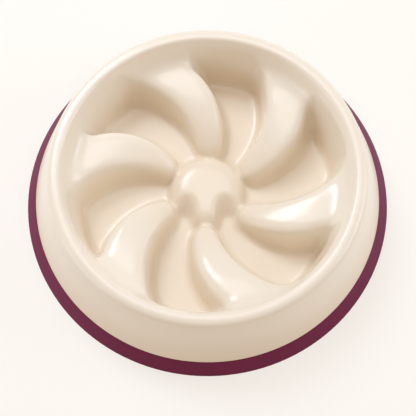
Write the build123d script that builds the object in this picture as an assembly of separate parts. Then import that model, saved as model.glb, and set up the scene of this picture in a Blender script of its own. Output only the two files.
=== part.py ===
from build123d import *
import os
from math import cos, hypot, radians, sin, sqrt, tan

# Slow feeder bowl: one moulded shell with swept ridges, standing on a pressed-on rubber ring.
# Millimetres, +Z up, the origin is the middle of the foot on the table.

# Ring round the foot, from the table up
ring_foot_radius = 121.0  # the bowl's widest line, on the table
ring_lean = 6.8  # how far the ring's outer face leans in
ring_height = 9.5
ring_top_round = 0.8
ring_wall = 3.1  # rubber outside the shell's foot, at the ring's top
ring_floor = 2.5  # rubber under the shell's foot
lip_width = 2.5  # rubber inside the shell's foot
lip_height = 7.0
fit = 0.1  # ring to shell, all round
seam = 0.3  # open line between ring and skirt

# Shell, from the skirt in over the rim and down the funnel, all as sharp corners
wall = 3.0  # thickness of the moulding
skirt_lean = 13.6  # how far the skirt leans in
rim_height = 50.0  # top of the rim above the table
rim_width = 6.8
rim_outer_round = 5.0
rim_inner_round = 2.5
funnel_lean = 8.1  # how far the funnel leans in, from the rim to the ridge tops
funnel_depth = 15.5  # ridge tops below the rim, at the funnel
funnel_round = 10.0  # soft turn from funnel to ridge tops

# Feeding lanes between the ridges, sizes at the floor
floor_height = 6.0  # top of the lane floor
lane_inset = 1.7  # outer wall of the lanes, inside the funnel's foot
draft = 10.0  # lean of every lane wall, degrees
sweep_corner = 12.0  # plan rounding where the hollow flank runs into the outer wall
lane_round = 3.5  # lane walls to floor, and bulging flank to outer wall
shoulder_round = 6.0  # lane walls to ridge tops

# Ridges, plan at the floor, for a ridge that starts on +X and sweeps towards +Y
ridge_count = 6
first_ridge_angle = 30.0
nose_radius = 9.7
reach_share = 0.4  # from the middle to the noses, as a share of the lanes' outer radius
nose_shift = -1.2  # middle of the nose beside the radius it starts on
nose_height = 14.5  # ridge top above the nose
crest_bow = 4.9  # rise of the ridge top over a straight line from nose to funnel
bulge_share = 1.1111  # radius of the leading flank, as a share of the ridge's length
bulge_angle = 3.1  # where it meets the lanes' outer wall
hollow_share = 1.131  # radius of the trailing flank, as a share of the ridge's length
hollow_angle = 37.5

# Hub in the middle
hub_height = 16.2
hub_flat_radius = 13.8  # flat top of the hub
hub_round = 12.0  # from the flat top down to the floor
scoop_radius = 8.0  # the two troughs down the hub's front
scoop_slope = 38.0  # fall of a trough, degrees
scoop_splay = 10.0  # turn of a trough away from the front leg, degrees
scoop_side = 14.0  # foot of a trough beside the front leg
scoop_reach = 15.5  # foot of a trough in front of the axis
scoop_lip = 2.5  # rounding of the troughs' edges

ring_top_radius = ring_foot_radius - ring_lean  # the skirt's foot lies over it
tongue_radius = ring_top_radius - ring_wall - fit  # outer face of the shell's foot
tongue_bottom = ring_floor + fit
skirt_bottom = ring_height + seam
rim_outer_radius = ring_top_radius - skirt_lean
rim_inner_radius = rim_outer_radius - rim_width
funnel_radius = rim_inner_radius - funnel_lean
funnel_height = rim_height - funnel_depth
well_radius = funnel_radius - lane_inset
nose_reach = reach_share * well_radius
bulge_radius = bulge_share * (well_radius - nose_reach)
hollow_radius = hollow_share * (well_radius - nose_reach)
nose_tip = nose_reach - nose_radius
ridge_pitch = 360 / ridge_count
run_out = 1.5 * (rim_outer_radius - well_radius)  # the plan of a ridge runs on this far past the lanes
nose_share = 0.95  # how far a leaning nose may close before its walls stop


def polar(radius, angle):
    return Vector(radius * cos(radians(angle)), radius * sin(radians(angle)))


def meet(centre_a, radius_a, centre_b, radius_b, near):
    """The crossing of two circles that lies nearer to a given point."""
    across = centre_b - centre_a
    along = (radius_a**2 - radius_b**2 + across.length**2) / (2 * across.length)
    up = sqrt(radius_a**2 - along**2)
    unit = across.normalized()
    side = Vector(-unit.Y, unit.X)
    crossings = [centre_a + unit * along + side * up, centre_a + unit * along - side * up]
    return min(crossings, key=lambda point: (point - near).length)


def flank(centre, radius, nose, root):
    """Start, middle and end of a ridge's flank, and the end of its straight run past the lanes."""
    first, last = (nose - centre).normalized(), (root - centre).normalized()
    start, middle, end = [centre + spoke.normalized() * radius for spoke in (first, first + last, last)]
    return start, middle, end, end + Vector(-last.Y, last.X) * run_out


def ridge_plan(shrink):
    """Plan of one ridge, smaller by shrink on every side: nose, two flanks and an end past the wall."""
    nose = Vector(nose_reach, nose_shift)
    bulge_root = polar(well_radius, bulge_angle)
    hollow_root = polar(well_radius, hollow_angle)
    sweep_side = polar(well_radius, bulge_angle + ridge_pitch)
    bulge_centre = meet(nose, bulge_radius - nose_radius, bulge_root, bulge_radius, sweep_side)
    hollow_centre = meet(nose, hollow_radius + nose_radius, hollow_root, hollow_radius, sweep_side)
    bulge = flank(bulge_centre, bulge_radius - shrink, nose, bulge_root)
    hollow = flank(hollow_centre, hollow_radius + shrink, nose, hollow_root)
    outline = [
        ThreePointArc(hollow[0], nose - Vector(nose_radius - shrink, 0), bulge[0]),
        ThreePointArc(*bulge[:3]),
        Line(bulge[2], bulge[3]),
        Line(bulge[3], hollow[3]),
        Line(hollow[3], hollow[2]),
        ThreePointArc(hollow[2], hollow[1], hollow[0]),
    ]
    return Face(Wire(outline))


def lane_lean(grow, height):
    """How far a lane wall, moved out by grow, stands at a height from its place at the floor."""
    return grow / cos(radians(draft)) + (height - floor_height) * tan(radians(draft))


def lane_rise(shrink):
    """Height over which the walls of a ridge, smaller by shrink, may rise before its nose closes."""
    return nose_share * (nose_radius - shrink) / tan(radians(draft))


def ridge_roots(angle):
    """Where every ridge's flank with the given root angle meets the lanes' outer wall, at the floor."""
    turns = [first_ridge_angle + ridge_pitch * ridge + angle for ridge in range(ridge_count)]
    return [polar(well_radius, turn) + Vector(0, 0, floor_height) for turn in turns]


def lane_plan():
    """Plan of all lanes, which meet round the hub, with their wide outer corners rounded."""
    ridges = PolarLocations(0, ridge_count, first_ridge_angle) * ridge_plan(0)
    plan = Pos(0, 0, floor_height) * (Circle(well_radius) - ridges)
    corners = [plan.vertices().sort_by_distance(root)[0] for root in ridge_roots(hollow_angle)]
    return fillet(corners, sweep_corner)


def lanes():
    """The open room of all lanes, rounded at the floor and in the sharp outer corners."""
    room = extrude(lane_plan(), amount=lane_rise(0), taper=-draft)
    upright = room.edges().filter_by(lambda edge: edge.bounding_box().size.Z > lane_round)
    corners = [upright.sort_by_distance(root)[0] for root in ridge_roots(bulge_angle)]
    return fillet(room.faces().sort_by(Axis.Z)[0].edges() + corners, lane_round)


def crest_arc():
    """The line of the ridge tops in half section, from the noses out to the funnel."""
    start, end = Vector(nose_tip, nose_height), Vector(funnel_radius, funnel_height)
    along = (end - start).normalized()
    return ThreePointArc(start, (start + end) / 2 + Vector(-along.Y, along.X) * crest_bow, end)


def crown_outline(low):
    """Half section of the shell's outside with sharp rim corners, filled down to the height low."""
    with BuildSketch(Plane.XZ) as half:
        with BuildLine():
            crest = crest_arc()
            Polyline(
                crest @ 1,
                (rim_inner_radius, rim_height),
                (rim_outer_radius, rim_height),
                (ring_top_radius, skirt_bottom),
                (tongue_radius, skirt_bottom),
                (tongue_radius, low),
                (0, low),
                (0, floor_height + wall),
                (nose_tip, floor_height + wall),
                crest @ 0,
            )
        make_face()
    return half.sketch


def round_corner(section, radius, height, rounding):
    """Rounds the corner of a half section that lies at the given radius and height."""
    corner = min(section.vertices(), key=lambda v: hypot(v.X - radius, v.Z - height))
    return fillet(corner, rounding)


def dish_with_lanes():
    """Solid dish, rim and skirt with the lanes cut in and the ridge shoulders rounded."""
    section = crown_outline(tongue_bottom)
    section = round_corner(section, funnel_radius, funnel_height, funnel_round)
    section = round_corner(section, rim_inner_radius, rim_height, rim_inner_round)
    section = round_corner(section, rim_outer_radius, rim_height, rim_outer_round)
    dish = revolve(section, Axis.Z)
    room = lanes()
    cut = dish - room
    return fillet(new_edges(dish, room, combined=cut), shoulder_round)


def hub_dome(low):
    """The hub without its troughs, from the height low upwards."""
    with BuildSketch(Plane.XZ) as half:
        with BuildLine():
            bend = CenterArc((hub_flat_radius, hub_height - hub_round), hub_round, 0, 90)
            Polyline(bend @ 1, (0, hub_height), (0, low), (hub_flat_radius + hub_round, low), bend @ 0)
        make_face()
    return revolve(half.sketch, Axis.Z)


def hub_troughs(grow):
    """The two round troughs that fall from the hub's top to the lanes in front, larger by grow all round."""
    length = 4 * (hub_flat_radius + hub_round)
    trough = Rot(X=scoop_slope - 90) * Pos(0, -scoop_radius, 0) * Cylinder(scoop_radius + grow, length)
    return [
        Pos(nose_shift + side * scoop_side, -scoop_reach, floor_height) * Rot(Z=side * scoop_splay) * trough
        for side in (1, -1)
    ]


def hub():
    dome = hub_dome(floor_height - hub_round)
    troughs = hub_troughs(0)
    cut = dome - troughs
    lips = new_edges(dome, *troughs, combined=cut).filter_by(lambda e: e.bounding_box().max.Z > floor_height)
    return fillet(lips, scoop_lip)


def hub_hollow():
    """Plain cone under the hub, one wall away from its top, its foot and its troughs."""
    low, high = floor_height - wall, hub_height - wall
    cone = Solid.make_cone(hub_flat_radius + hub_round - wall, hub_flat_radius, high - low)
    return Pos(0, 0, low) * cone - hub_troughs(wall)


def roof():
    """All that lies over the dish, moved down by one wall: the rooms inside the ridges end under it."""
    high = 2 * rim_height
    with BuildSketch(Plane.XZ) as half:
        with BuildLine():
            crest = crest_arc()
            Polyline(
                crest @ 1,
                (rim_inner_radius, rim_height),
                (rim_inner_radius, high),
                (wall, high),
                (wall, nose_height),
                crest @ 0,
            )
        make_face()
    return revolve(offset(half.sketch, wall, kind=Kind.INTERSECTION), Axis.Z)


def ridge_room(low):
    """The room inside one ridge, from the height low up to one wall under the ridge's top."""
    shrink = lane_lean(wall, low)
    return extrude(Pos(0, 0, low) * ridge_plan(shrink), amount=lane_rise(shrink), taper=draft) - roof()


def underside():
    """The hollow behind the skirt and inside the ridges, one wall away from the shell's outside."""
    low, high = -2 * wall, rim_height + wall
    inside = revolve(offset(crown_outline(low), -wall, kind=Kind.INTERSECTION), Axis.Z)
    well = Pos(0, 0, low) * Solid.make_cone(
        well_radius + lane_lean(wall, low), well_radius + lane_lean(wall, high), high - low
    )
    rooms = PolarLocations(0, ridge_count, first_ridge_angle) * ridge_room(low - wall)
    return (inside - well) + rooms


def bowl_shell():
    """The whole moulding: dish, lanes and hub, hollowed from below to an even wall."""
    under_floor = Cylinder(tongue_radius - wall, rim_height, align=(Align.CENTER, Align.CENTER, Align.MAX))
    hollows = [underside(), Pos(0, 0, floor_height - wall) * under_floor, hub_hollow()]
    return dish_with_lanes() + hub() - hollows


def non_slip_ring():
    """Rubber channel round the foot: sloped band outside, floor that the bowl stands on, low lip inside."""
    lip_outer = tongue_radius - wall - fit
    with BuildSketch(Plane.XZ) as half:
        with BuildLine():
            Polyline(
                (lip_outer - lip_width, 0),
                (ring_foot_radius, 0),
                (ring_top_radius, ring_height),
                (tongue_radius + fit, ring_height),
                (tongue_radius + fit, ring_floor),
                (lip_outer, ring_floor),
                (lip_outer, lip_height),
                (lip_outer - lip_width, lip_height),
                (lip_outer - lip_width, 0),
            )
        make_face()
    section = round_corner(half.sketch, ring_top_radius, ring_height, ring_top_round)
    return revolve(section, Axis.Z)


os.makedirs("parts", exist_ok=True)
export_step(bowl_shell(), "parts/bowl_shell.step")
export_step(non_slip_ring(), "parts/non_slip_ring.step")
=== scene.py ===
from math import hypot

import bpy
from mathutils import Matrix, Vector


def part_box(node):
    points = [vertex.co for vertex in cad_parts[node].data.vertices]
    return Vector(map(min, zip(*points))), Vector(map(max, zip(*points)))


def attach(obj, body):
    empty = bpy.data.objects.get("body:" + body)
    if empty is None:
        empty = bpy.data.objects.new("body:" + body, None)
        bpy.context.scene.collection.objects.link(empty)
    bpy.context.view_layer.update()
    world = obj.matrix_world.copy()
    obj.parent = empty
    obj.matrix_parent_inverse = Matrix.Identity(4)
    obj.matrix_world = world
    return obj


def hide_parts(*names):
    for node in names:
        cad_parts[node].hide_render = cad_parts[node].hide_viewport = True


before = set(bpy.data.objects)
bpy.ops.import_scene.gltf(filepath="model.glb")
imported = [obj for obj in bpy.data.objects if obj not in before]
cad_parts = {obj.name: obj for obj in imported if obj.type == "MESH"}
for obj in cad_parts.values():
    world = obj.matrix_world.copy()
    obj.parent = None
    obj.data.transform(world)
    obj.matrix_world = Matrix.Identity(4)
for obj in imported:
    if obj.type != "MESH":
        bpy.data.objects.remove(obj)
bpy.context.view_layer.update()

bl_info = {
    "name": "Slow feeder bowl",
    "version": (1, 0, 0),
    "blender": (4, 5, 0),
    "location": "View3D > Sidebar > Feeder",
    "description": "Finishes a moulded slow feeder bowl and its rubber ring and sets them on a pale table",
    "category": "Object",
}

MM = 0.001
SAME_POINT = 0.001 * MM  # vertices of a CAD mesh that are nearer than this are one
FLAT_FACE = 0.02 * MM  # faces on the foot line that are thinner than this go
FRAME_WIDTH = 36.0  # of the camera, in millimetres

# Soft boxes that face the bowl: place and side in metres, and the stage setting that gives the power
SOFT_BOXES = {
    "soft_box_behind_left": ((-0.45, 0.7, 1.0), 0.5, "key"),
    "soft_box_overhead": ((0.0, 0.35, 1.25), 0.7, "top"),
    "soft_box_right": ((1.18, 0.0, 0.55), 0.8, "side"),
    "soft_box_left": ((-1.2, -0.5, 0.3), 0.8, "fill"),
}


def srgb(code):
    """Linear colour of an sRGB hex value such as 0xF3EBE0."""
    parts = [(code >> shift & 255) / 255 for shift in (16, 8, 0)]
    return [c / 12.92 if c <= 0.04045 else ((c + 0.055) / 1.055) ** 2.4 for c in parts]


def share(value):
    """The value held between 0 and 1."""
    return min(max(value, 0), 1)


def add_node(tree, kind, links=(), **settings):
    """Adds a node, sets its properties and input values, and links (output, input) pairs into it."""
    node = tree.nodes.new(kind)
    for name, value in settings.items():
        if hasattr(node, name):
            setattr(node, name, value)
        else:
            node.inputs[name.replace("_", " ")].default_value = value
    for output, target in links:
        tree.links.new(output, node.inputs[target])
    return node


def new_material(name):
    """An empty node material, its node tree and its output node."""
    material = bpy.data.materials.new(name)
    material.use_nodes = True
    tree = material.node_tree
    tree.nodes.clear()
    return material, tree, add_node(tree, "ShaderNodeOutputMaterial")


def noise(tree, place, size_mm, detail):
    """A noise pattern with features of this size in millimetres."""
    scale = 1 / (size_mm * MM)
    return add_node(tree, "ShaderNodeTexNoise", [(place, "Vector")], Scale=scale, Detail=detail).outputs["Fac"]


def relief(tree, pattern, strength, depth_mm):
    """Normals of a pattern in relief."""
    bump = add_node(tree, "ShaderNodeBump", [(pattern, "Height")], Strength=strength, Distance=depth_mm * MM)
    return bump.outputs["Normal"]


def spread(tree, pattern, low, high):
    """A pattern from 0 to 1 laid out between two values."""
    return add_node(tree, "ShaderNodeMapRange", [(pattern, "Value")], To_Min=low, To_Max=high).outputs["Result"]


def two_tones(tree, pattern, settings):
    """The piece's main tone, and its deep tone where the pattern is 1."""
    tone = add_node(tree, "ShaderNodeMix", [(pattern, "Factor")], data_type="RGBA")
    tone.inputs["A"].default_value = (*settings.colour, 1)
    tone.inputs["B"].default_value = (*settings.colour_deep, 1)
    return tone.outputs["Result"]


def surface(tree, out, tone, gloss, normal, **settings):
    """The shader of a moulded face, linked to the material's output."""
    links = [(tone, "Base Color"), (gloss, "Roughness"), (normal, "Normal")]
    shader = add_node(tree, "ShaderNodeBsdfPrincipled", links, **settings)
    tree.links.new(shader.outputs["BSDF"], out.inputs["Surface"])


def moulded_polypropylene(settings):
    """Injection-moulded polypropylene from a polished tool: warm ivory, soft gloss, faint orange peel."""
    material, tree, out = new_material("moulded_polypropylene_ivory")
    place = add_node(tree, "ShaderNodeTexCoord").outputs["Object"]
    # Painted shade: the tone warms and darkens towards the lane floors, where shade falls in the deep lanes; the
    # gloss dulls a little there too, as wear and washing would do
    height = add_node(tree, "ShaderNodeSeparateXYZ", [(place, "Vector")]).outputs["Z"]
    shade_and_wear = add_node(
        tree, "ShaderNodeMapRange", [(height, "Value")], interpolation_type="SMOOTHSTEP",
        From_Min=settings.shade_and_wear_low, From_Max=settings.shade_and_wear_high, To_Min=1.0, To_Max=0.0,
    ).outputs["Result"]
    # Painted shade of the lanes: main ivory up high, deep ivory down at the lane floors
    tone = two_tones(tree, shade_and_wear, settings)
    gloss = spread(tree, shade_and_wear, settings.roughness, settings.roughness * 1.3)
    # Orange peel of a moulded face, a little coarser than real
    peel = noise(tree, place, size_mm=3.5, detail=1.0)
    normal = relief(tree, peel, strength=0.03, depth_mm=0.3)
    surface(tree, out, tone, gloss, normal, IOR=1.49)
    return material


def moulded_rubber(settings):
    """Compression-moulded rubber: plum colour with a faint bloom, satin face with a fine grain."""
    material, tree, out = new_material("moulded_rubber_plum")
    place = add_node(tree, "ShaderNodeTexCoord").outputs["Object"]
    bloom = noise(tree, place, size_mm=18, detail=4.0)
    tone = two_tones(tree, bloom, settings)
    # Blasted grain of the tool, about 0.3 mm, drawn at 0.8 mm so that it shows
    grain = noise(tree, place, size_mm=0.8, detail=2.0)
    gloss = spread(tree, grain, settings.roughness * 0.9, settings.roughness * 1.1)
    normal = relief(tree, grain, strength=0.15, depth_mm=0.1)
    surface(tree, out, tone, gloss, normal, IOR=1.52, Specular_IOR_Level=0.25)
    return material


def pale_table(settings):
    """Matt pale table top: the camera sees it lifted towards white, its shadow stays."""
    material, tree, out = new_material("pale_table")
    paint = add_node(tree, "ShaderNodeBsdfDiffuse", Color=(*settings.floor_colour, 1))
    lift = add_node(tree, "ShaderNodeEmission", Color=(*settings.floor_colour, 1), Strength=1.0)
    rays = add_node(tree, "ShaderNodeLightPath").outputs
    seen = add_node(tree, "ShaderNodeMath", [(rays["Is Camera Ray"], 0), (rays["Is Glossy Ray"], 1)])
    seen = add_node(
        tree, "ShaderNodeMath", [(seen.outputs[0], 0), (rays["Is Transmission Ray"], 1)], use_clamp=True
    )
    lifted = add_node(tree, "ShaderNodeMath", [(seen.outputs[0], 0)], operation="MULTIPLY")
    lifted.inputs[1].default_value = settings.floor_lift
    mix = add_node(
        tree, "ShaderNodeMixShader",
        [(lifted.outputs[0], 0), (paint.outputs["BSDF"], 1), (lift.outputs["Emission"], 2)],
    )
    tree.links.new(mix.outputs["Shader"], out.inputs["Surface"])
    return material


def only(piece):
    """Makes a piece the one selected and active object."""
    bpy.ops.object.select_all(action="DESELECT")
    piece.select_set(True)
    bpy.context.view_layer.objects.active = piece


def merged_copy(name, node):
    """A merged copy of a CAD node's mesh that stands for the node."""
    piece = bpy.data.objects.new(name, bpy.data.meshes.new_from_object(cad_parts[node]))
    bpy.context.collection.objects.link(piece)
    only(piece)
    bpy.ops.object.mode_set(mode="EDIT")
    bpy.ops.mesh.select_all(action="SELECT")
    bpy.ops.mesh.remove_doubles(threshold=SAME_POINT)
    bpy.ops.object.mode_set(mode="OBJECT")
    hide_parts(node)
    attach(piece, "root")
    return piece


def apply_modifier(piece, kind, **settings):
    """Adds a modifier to the active piece, sets it and applies it to the mesh."""
    bpy.ops.object.modifier_add(type=kind)
    modifier = piece.modifiers[-1]
    for name, value in settings.items():
        setattr(modifier, name, value)
    bpy.ops.object.modifier_apply(modifier=modifier.name)


def smooth(piece, steps, group=""):
    """Smooths the active piece, all over or where a vertex group says."""
    apply_modifier(piece, "SMOOTH", factor=0.5, iterations=steps, vertex_group=group)


def weigh(piece, name, weight):
    """A vertex group of the piece with a weight for every vertex from its place."""
    group = piece.vertex_groups.new(name=name)
    for vertex in piece.data.vertices:
        group.add([vertex.index], weight(vertex.co), "REPLACE")


def crest_heights(piece, step):
    """Height of the highest point in each ring of this width round the axis: the line of the ridge tops."""
    heights = {}
    for vertex in piece.data.vertices:
        ring = int(vertex.co.xy.length / step)
        heights[ring] = max(heights.get(ring, 0), vertex.co.z)
    return heights


def ease_dish(piece, node, settings):
    """Rounds ridge tops and creases inside the rim on an even mesh; rim and skirt go back onto the CAD faces."""
    step, depth, fade = settings.ring_step, settings.crest_depth, settings.ease_fade
    hub_radius, ease_radius = settings.hub_radius, settings.ease_radius

    def dish(place):
        return share((ease_radius - place.xy.length) / fade)

    def rim(place):
        return 1 - dish(place)

    def crests(place):
        out = place.xy.length
        under_top = place.z - heights[int(out / step)]
        return dish(place) * share((out - hub_radius) / fade) * share(under_top / depth + 1)

    apply_modifier(piece, "REMESH", mode="VOXEL", voxel_size=settings.mesh_size)
    smooth(piece, settings.skin_steps)
    weigh(piece, "dish", dish)
    weigh(piece, "rim", rim)
    smooth(piece, settings.ease_steps, "dish")
    heights = crest_heights(piece, step)
    weigh(piece, "crests", crests)
    smooth(piece, settings.crest_steps, "crests")
    apply_modifier(piece, "SHRINKWRAP", target=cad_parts[node], vertex_group="rim")
    piece.vertex_groups.clear()


def sharpen_foot(piece, ring_node, settings):
    """Draws the vertices nearest to the skirt's foot, just over the ring's top edge, onto one sharp line."""
    ring_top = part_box(ring_node)[1].z + settings.seam
    foot = max(vertex.co.xy.length for vertex in piece.data.vertices)
    only(piece)
    bpy.ops.object.mode_set(mode="EDIT")
    bpy.ops.mesh.select_mode(type="VERT")
    bpy.ops.mesh.select_all(action="DESELECT")
    bpy.ops.object.mode_set(mode="OBJECT")
    for vertex in piece.data.vertices:
        out = vertex.co.xy.length
        if hypot(out - foot, vertex.co.z - ring_top) < settings.foot_catch:
            vertex.co.xy *= foot / out
            vertex.co.z = ring_top
            vertex.select = True
    # Rows that fell together on the line become one, so that few faces are left folded or flat
    bpy.ops.object.mode_set(mode="EDIT")
    bpy.ops.mesh.remove_doubles(threshold=settings.foot_merge)
    bpy.ops.mesh.dissolve_degenerate(threshold=FLAT_FACE)
    bpy.ops.object.mode_set(mode="OBJECT")


def set_material(piece, material):
    """Gives a piece one material all over."""
    piece.data.materials.clear()
    piece.data.materials.append(material)


class FeederShell(bpy.types.PropertyGroup):
    """Finish of the moulded shell."""

    colour: bpy.props.FloatVectorProperty(
        name="Ivory", description="Main tone of the plastic", subtype="COLOR", default=srgb(0xF6F0E5)
    )
    # Deep ivory is painted shade: the darker, warmer tone laid towards the lane floors
    colour_deep: bpy.props.FloatVectorProperty(
        name="Deep ivory", description="Tone of the plastic where it is worn", subtype="COLOR",
        default=srgb(0xF0E4D2),
    )
    # Heights between which the painted shade of the lanes and the duller gloss fade out
    shade_and_wear_low: bpy.props.FloatProperty(
        name="Wear from", description="Height up to which the wear is full", unit="LENGTH", default=6 * MM
    )
    shade_and_wear_high: bpy.props.FloatProperty(
        name="Wear to", description="Height above which there is no wear", unit="LENGTH", default=40 * MM
    )
    roughness: bpy.props.FloatProperty(
        name="Roughness", description="Gloss of the polished moulding", subtype="FACTOR", min=0, max=1,
        default=0.19,
    )
    smooth_angle: bpy.props.FloatProperty(
        name="Smooth angle", description="Faces that meet flatter than this shade as one", subtype="ANGLE",
        default=0.9,
    )
    mesh_size: bpy.props.FloatProperty(
        name="Mesh size", description="Side of the even faces of the shell", unit="LENGTH", default=1.65 * MM
    )
    skin_steps: bpy.props.IntProperty(
        name="Skin steps", description="Smoothing steps all over", subtype="UNSIGNED", default=2
    )
    ease_steps: bpy.props.IntProperty(
        name="Easing steps", description="Smoothing steps in the dish", subtype="UNSIGNED", default=2
    )
    crest_steps: bpy.props.IntProperty(
        name="Crest steps", description="Smoothing steps of the ridge tops", subtype="UNSIGNED", default=30
    )
    crest_depth: bpy.props.FloatProperty(
        name="Crest depth", description="How far down from its top a ridge is rounded", unit="LENGTH",
        default=9 * MM,
    )
    hub_radius: bpy.props.FloatProperty(
        name="Hub radius", description="Radius from which ridge tops are rounded", unit="LENGTH", default=24 * MM
    )
    ring_step: bpy.props.FloatProperty(
        name="Ring step", description="Width of the rings that give the ridge tops", unit="LENGTH", default=3 * MM
    )
    ease_radius: bpy.props.FloatProperty(
        name="Easing radius", description="Radius inside which edges are eased", unit="LENGTH", default=93 * MM
    )
    ease_fade: bpy.props.FloatProperty(
        name="Easing fade", description="Width over which the easing sets in", unit="LENGTH", default=10 * MM
    )
    seam: bpy.props.FloatProperty(
        name="Seam", description="Open line between ring and skirt", unit="LENGTH", default=0.3 * MM
    )
    foot_catch: bpy.props.FloatProperty(
        name="Foot catch", description="Reach of the sharp line at the skirt's foot", unit="LENGTH",
        default=1.6 * MM,
    )
    foot_merge: bpy.props.FloatProperty(
        name="Foot merge", description="Vertices of the sharp line that are nearer than this become one",
        unit="LENGTH", default=1.1 * MM,
    )


class FeederRing(bpy.types.PropertyGroup):
    """Finish of the rubber ring."""

    colour: bpy.props.FloatVectorProperty(
        name="Plum", description="Main tone of the rubber", subtype="COLOR", default=srgb(0x78194B)
    )
    colour_deep: bpy.props.FloatVectorProperty(
        name="Deep plum", description="Tone that the rubber drifts to", subtype="COLOR", default=srgb(0x6C1543)
    )
    roughness: bpy.props.FloatProperty(
        name="Roughness", description="Sheen of the rubber", subtype="FACTOR", min=0, max=1, default=0.5
    )
    smooth_angle: bpy.props.FloatProperty(
        name="Smooth angle", description="Faces that meet flatter than this shade as one", subtype="ANGLE",
        default=0.6,
    )


class FeederStage(bpy.types.PropertyGroup):
    """Table, light and camera."""

    floor_colour: bpy.props.FloatVectorProperty(
        name="Table", description="Colour of the table", subtype="COLOR", default=srgb(0xFFFDF9)
    )
    floor_lift: bpy.props.FloatProperty(
        name="Lift", description="How far the table is lifted to white for the camera", subtype="FACTOR",
        default=0.6,
    )
    floor_size: bpy.props.FloatProperty(
        name="Table size", description="Side of the table", unit="LENGTH", default=6.0
    )
    sky_colour: bpy.props.FloatVectorProperty(
        name="Room tone", description="Colour of the light from all round", subtype="COLOR",
        default=srgb(0xFFDEB8),
    )
    sky: bpy.props.FloatProperty(
        name="Room light", description="Level of the light from all round", subtype="FACTOR", default=0.45
    )
    lamp_colour: bpy.props.FloatVectorProperty(
        name="Lamp tone", description="Colour of the soft boxes", subtype="COLOR", default=srgb(0xE8F3FF)
    )
    key: bpy.props.FloatProperty(
        name="Key light", description="Soft box behind left", unit="POWER", default=7.2
    )
    top: bpy.props.FloatProperty(
        name="Top light", description="Soft box overhead", unit="POWER", default=3.6
    )
    side: bpy.props.FloatProperty(
        name="Side light", description="Soft box on the right", unit="POWER", default=5.6
    )
    fill: bpy.props.FloatProperty(
        name="Fill light", description="Low soft box on the left", unit="POWER", default=3.4
    )
    lens: bpy.props.FloatProperty(
        name="Lens", description="Focal length on a 36 mm frame", unit="CAMERA", default=84.98
    )
    camera_place: bpy.props.FloatVectorProperty(
        name="Camera", description="Place of the camera", subtype="XYZ", unit="LENGTH",
        default=(0.000345, -0.23896, 0.61883),
    )
    camera_aim: bpy.props.FloatVectorProperty(
        name="Aim", description="Point that the camera looks at", subtype="XYZ", unit="LENGTH",
        default=(0.000345, 0.0, -0.01983),
    )


class FEEDER_OT_shell(bpy.types.Operator):
    """Finish the moulded shell of the bowl"""

    bl_idname = "feeder.shell"
    bl_label = "Moulded shell"

    def execute(self, context):
        settings = context.scene.feeder_shell
        piece = merged_copy("bowl_shell_moulding", "bowl_shell")
        ease_dish(piece, "bowl_shell", settings)
        sharpen_foot(piece, "non_slip_ring", settings)
        bpy.ops.object.shade_smooth_by_angle(angle=settings.smooth_angle)
        set_material(piece, moulded_polypropylene(settings))
        return {"FINISHED"}


class FEEDER_OT_ring(bpy.types.Operator):
    """Finish the rubber ring round the foot"""

    bl_idname = "feeder.ring"
    bl_label = "Rubber ring"

    def execute(self, context):
        settings = context.scene.feeder_ring
        piece = merged_copy("non_slip_ring_rubber", "non_slip_ring")
        bpy.ops.object.shade_smooth_by_angle(angle=settings.smooth_angle)
        set_material(piece, moulded_rubber(settings))
        return {"FINISHED"}


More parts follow.
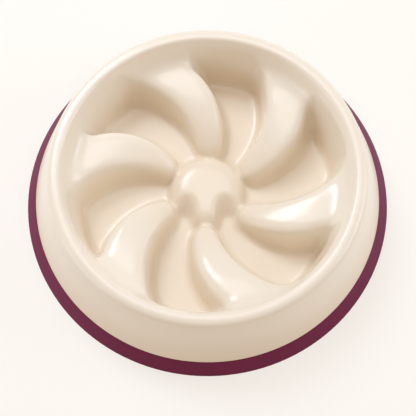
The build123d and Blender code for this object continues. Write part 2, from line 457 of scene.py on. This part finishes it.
class FEEDER_OT_stage(bpy.types.Operator):
    """Lay the table, set the lights and place the camera"""

    bl_idname = "feeder.stage"
    bl_label = "Table, light and camera"

    def execute(self, context):
        settings = context.scene.feeder_stage
        self.table(settings)
        self.lights(settings)
        self.camera(settings)
        return {"FINISHED"}

    def table(self, settings):
        bpy.ops.object.select_all(action="DESELECT")
        bpy.ops.mesh.primitive_plane_add(size=settings.floor_size)
        table = bpy.context.object
        table.name = "table"
        set_material(table, pale_table(settings))

    def lights(self, settings):
        scene = bpy.context.scene
        scene.view_settings.view_transform = "Standard"
        world = bpy.data.worlds.new("studio")
        world.use_nodes = True
        background = world.node_tree.nodes["Background"]
        background.inputs["Color"].default_value = (*settings.sky_colour, 1)
        background.inputs["Strength"].default_value = settings.sky
        scene.world = world
        for name, (place, size, power) in SOFT_BOXES.items():
            bpy.ops.object.light_add(type="AREA", location=place)
            lamp = bpy.context.object
            lamp.name = name
            lamp.data.size = size
            lamp.data.color = settings.lamp_colour
            lamp.data.energy = getattr(settings, power)
            lamp.rotation_euler = (-Vector(place)).to_track_quat("-Z", "Y").to_euler()

    def camera(self, settings):
        place, aim = Vector(settings.camera_place), Vector(settings.camera_aim)
        turn = (aim - place).to_track_quat("-Z", "Y").to_euler()
        bpy.ops.object.camera_add(location=place, rotation=turn)
        camera = bpy.context.object
        camera.data.sensor_width = FRAME_WIDTH
        camera.data.lens = settings.lens
        bpy.context.scene.camera = camera


class FEEDER_PT_panel(bpy.types.Panel):
    """Sidebar panel of the feeder bowl"""

    bl_idname = "FEEDER_PT_panel"
    bl_label = "Slow feeder bowl"
    bl_space_type = "VIEW_3D"
    bl_region_type = "UI"
    bl_category = "Feeder"

    def draw(self, context):
        for group, operator in OPERATORS.items():
            box = self.layout.box()
            settings = getattr(context.scene, group)
            for name in settings.__annotations__:
                box.prop(settings, name)
            box.operator(operator.bl_idname)


SETTINGS = {"feeder_shell": FeederShell, "feeder_ring": FeederRing, "feeder_stage": FeederStage}
OPERATORS = {"feeder_shell": FEEDER_OT_shell, "feeder_ring": FEEDER_OT_ring, "feeder_stage": FEEDER_OT_stage}
CLASSES = [*SETTINGS.values(), *OPERATORS.values(), FEEDER_PT_panel]


def register():
    for cls in CLASSES:
        bpy.utils.register_class(cls)
    for name, group in SETTINGS.items():
        setattr(bpy.types.Scene, name, bpy.props.PointerProperty(type=group))


def unregister():
    for name in SETTINGS:
        delattr(bpy.types.Scene, name)
    for cls in reversed(CLASSES):
        bpy.utils.unregister_class(cls)


def main():
    register()
    bpy.ops.feeder.shell()
    bpy.ops.feeder.ring()
    bpy.ops.feeder.stage()


if __name__ == "__main__":
    main()
